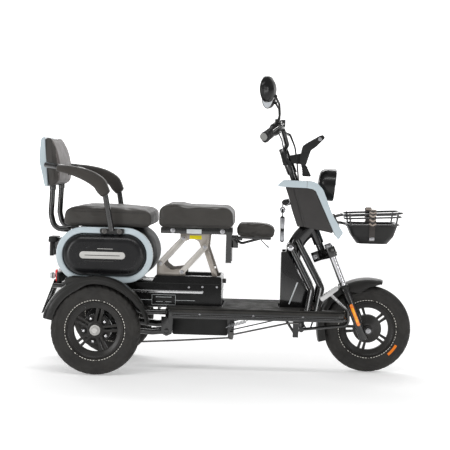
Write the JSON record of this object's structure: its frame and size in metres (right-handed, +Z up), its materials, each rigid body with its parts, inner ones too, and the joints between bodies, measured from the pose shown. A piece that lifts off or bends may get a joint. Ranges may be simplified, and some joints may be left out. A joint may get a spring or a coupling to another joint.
{
  "type": "adult tricycle",
  "caption": "Step-through powered tricycle with a raked sprung fork, wire basket, lifting rider seat, and a rear bench seat with backrest and armrests on a barrel-shaped locker.",
  "frame": {"origin": "on the ground under the middle of the machine's overall length and width", "axes": "+X forward, towards the front wheel; +Y to the rider's left; +Z up"},
  "size_m": [1.708, 0.7698, 1.3338],
  "materials": {
    "black_paint": "gloss",
    "black_satin": "satin",
    "beige_paint": "gloss",
    "pale_paint": "gloss",
    "light_blue": "gloss",
    "dark_plastic": "matte",
    "gloss_black_plastic": "gloss",
    "panel_grey": "satin",
    "taupe_leather": "satin",
    "black_leather": "satin",
    "mat_rubber": "matte",
    "grip_rubber": "matte",
    "tyre_rubber": "matte",
    "rim_black": "satin",
    "chrome": "gloss",
    "bearing_steel": "satin",
    "cast_alloy": "satin",
    "cast_black": "satin",
    "pedal_paint": "satin",
    "red_lens": "gloss",
    "cable_black": "matte",
    "key_black": "gloss"
  },
  "bodies": {
    "chassis": {"main_frame": "black_paint", "headset_bearings": "bearing_steel", "deck_tray": "cast_black", "floor_mat": "mat_rubber", "rear_frame": "black_paint", "battery_box": "gloss_black_plastic", "battery_pack": "dark_plastic", "lower_box": "dark_plastic", "motor_controller": "cast_alloy", "leg_shield": "gloss_black_plastic", "front_shroud": "light_blue", "shroud_panels": "panel_grey", "locks": "chrome", "headlight_bucket": "gloss_black_plastic", "basket_frame": "black_paint", "basket_tub": "dark_plastic", "luggage_barrel": "gloss_black_plastic", "end_rings": "light_blue", "end_covers": "gloss_black_plastic", "rear_fenders": "dark_plastic", "tail_lights": "red_lens", "tail_brackets": "black_satin", "backrest_shell": "light_blue", "backrest_pad": "taupe_leather", "backrest_tubes": "black_paint", "armrest_frames": "black_paint", "armrest_pads": "black_leather", "lift_base": "beige_paint"},
    "steering": {"steering_stem": "black_satin", "handlebar": "black_satin", "stanchions": "chrome", "left_grip": "grip_rubber", "switch_pods": "dark_plastic", "display": "gloss_black_plastic", "control_cables": "cable_black"},
    "fork": {"fork_legs": "black_paint", "front_mudguard": "dark_plastic"},
    "front_wheel": {"front_tyre": "tyre_rubber", "front_rim": "rim_black"},
    "throttle": {"throttle_grip": "grip_rubber"},
    "lever_right": {"right_brake_lever": "black_satin"},
    "lever_left": {"left_brake_lever": "black_satin"},
    "mirror_right": {"right_mirror": "gloss_black_plastic"},
    "mirror_left": {"left_mirror": "gloss_black_plastic"},
    "swing_arm": {"rear_axle": "cast_black"},
    "rear_wheel_left": {"rear_left_tyre": "tyre_rubber", "rear_left_rim": "rim_black"},
    "rear_wheel_right": {"rear_right_tyre": "tyre_rubber", "rear_right_rim": "rim_black"},
    "pedal": {"brake_pedal": "pedal_paint"},
    "rods": {"brake_rods": "bearing_steel"},
    "rear_links": {"lift_links_rear": "pale_paint"},
    "front_links": {"lift_links_front": "pale_paint"},
    "carrier": {"seat_carrier": "beige_paint", "rider_seat": "black_leather"},
    "prop": {"seat_prop": "pale_paint"},
    "folding_seat": {"child_seat": "black_leather", "child_seat_frame": "beige_paint"},
    "seat_lid": {"rear_seat": "black_leather"},
    "key": {"key_and_fob": "key_black"}
  },
  "joints": [
    {"name": "steer", "type": "hinge", "parent": "chassis", "child": "steering", "pos_m": [0.409, 0, 0.62], "axis": [-0.3795, 0, 0.9252], "range_deg": [-40, 40]},
    {"name": "fork_travel", "type": "slide", "parent": "steering", "child": "fork", "axis": [-0.3795, 0, 0.9252], "range_m": [0, 0.035], "stiffness_N_per_m": 24000, "springref_m": -0.02},
    {"name": "front_wheel_spin", "type": "hinge", "parent": "fork", "child": "front_wheel", "pos_m": [0.654, 0, 0.2], "axis": [0, 1, 0], "continuous": true},
    {"name": "throttle_twist", "type": "hinge", "parent": "steering", "child": "throttle", "pos_m": [0.203, -0.23, 1.107], "axis": [-0.4011, -0.8534, -0.3328], "range_deg": [0, 70], "stiffness_Nm_per_rad": 0.25},
    {"name": "brake_lever_right", "type": "hinge", "parent": "steering", "child": "lever_right", "pos_m": [0.24382, -0.22642, 1.13272], "axis": [0, 0, 1], "range_deg": [-10, 0], "stiffness_Nm_per_rad": 1, "springref_deg": 8.59},
    {"name": "brake_lever_left", "type": "hinge", "parent": "steering", "child": "lever_left", "pos_m": [0.24382, 0.22642, 1.13272], "axis": [0, 0, 1], "range_deg": [0, 10], "stiffness_Nm_per_rad": 1, "springref_deg": -8.59},
    {"name": "mirror_right_turn", "type": "hinge", "parent": "steering", "child": "mirror_right", "pos_m": [0.205, -0.318, 1.246], "axis": [0, 0, 1], "range_deg": [-12, 12]},
    {"name": "mirror_left_turn", "type": "hinge", "parent": "steering", "child": "mirror_left", "pos_m": [0.205, 0.318, 1.246], "axis": [0, 0, 1], "range_deg": [-12, 12]},
    {"name": "rear_suspension", "type": "hinge", "parent": "chassis", "child": "swing_arm", "pos_m": [-0.263, 0, 0.185], "axis": [0, 1, 0], "range_deg": [0, 4], "stiffness_Nm_per_rad": 9000, "springref_deg": -2.29},
    {"name": "rear_wheel_left_spin", "type": "hinge", "parent": "swing_arm", "child": "rear_wheel_left", "pos_m": [-0.566, 0.31, 0.2], "axis": [0, 1, 0], "continuous": true},
    {"name": "rear_wheel_right_spin", "type": "hinge", "parent": "swing_arm", "child": "rear_wheel_right", "pos_m": [-0.566, -0.31, 0.2], "axis": [0, 1, 0], "continuous": true},
    {"name": "brake_pedal_press", "type": "hinge", "parent": "chassis", "child": "pedal", "pos_m": [0.346, -0.198, 0.212], "axis": [0, 1, 0], "range_deg": [0, 6.5], "stiffness_Nm_per_rad": 12, "springref_deg": -17.19},
    {"name": "brake_rod_pull", "type": "slide", "parent": "chassis", "child": "rods", "axis": [1, 0, 0], "range_m": [0, 0.0036]},
    {"name": "seat_lift", "type": "hinge", "parent": "chassis", "child": "rear_links", "pos_m": [-0.302, 0, 0.487], "axis": [0, 1, 0], "range_deg": [0, 26]},
    {"name": "front_link_turn", "type": "hinge", "parent": "chassis", "child": "front_links", "pos_m": [-0.203, 0, 0.4495], "axis": [0, 1, 0], "range_deg": [0, 26]},
    {"name": "carrier_turn", "type": "hinge", "parent": "rear_links", "child": "carrier", "pos_m": [-0.199, 0, 0.602], "axis": [0, 1, 0], "range_deg": [-26, 0]},
    {"name": "prop_fold", "type": "hinge", "parent": "carrier", "child": "prop", "pos_m": [-0.1, 0, 0.5645], "axis": [0, 1, 0], "range_deg": [0, 72]},
    {"name": "small_seat_fold", "type": "hinge", "parent": "carrier", "child": "folding_seat", "pos_m": [0.04, 0, 0.602], "axis": [0, 1, 0], "range_deg": [0, 80]},
    {"name": "rear_seat_lid", "type": "hinge", "parent": "chassis", "child": "seat_lid", "pos_m": [-0.744, 0, 0.651], "axis": [0, 1, 0], "range_deg": [-25, 0]},
    {"name": "key_swing", "type": "hinge", "parent": "chassis", "child": "key", "pos_m": [0.25, -0.088, 0.768], "axis": [0, 1, 0], "range_deg": [-4, 15]}
  ],
  "couplings": [
    {"joint": "brake_rod_pull", "follows": "brake_pedal_press", "m_per_rad": 0.031},
    {"joint": "front_link_turn", "follows": "seat_lift", "ratio": 1},
    {"joint": "carrier_turn", "follows": "seat_lift", "ratio": -1},
    {"joint": "prop_fold", "follows": "seat_lift", "ratio": 2.75}
  ]
}
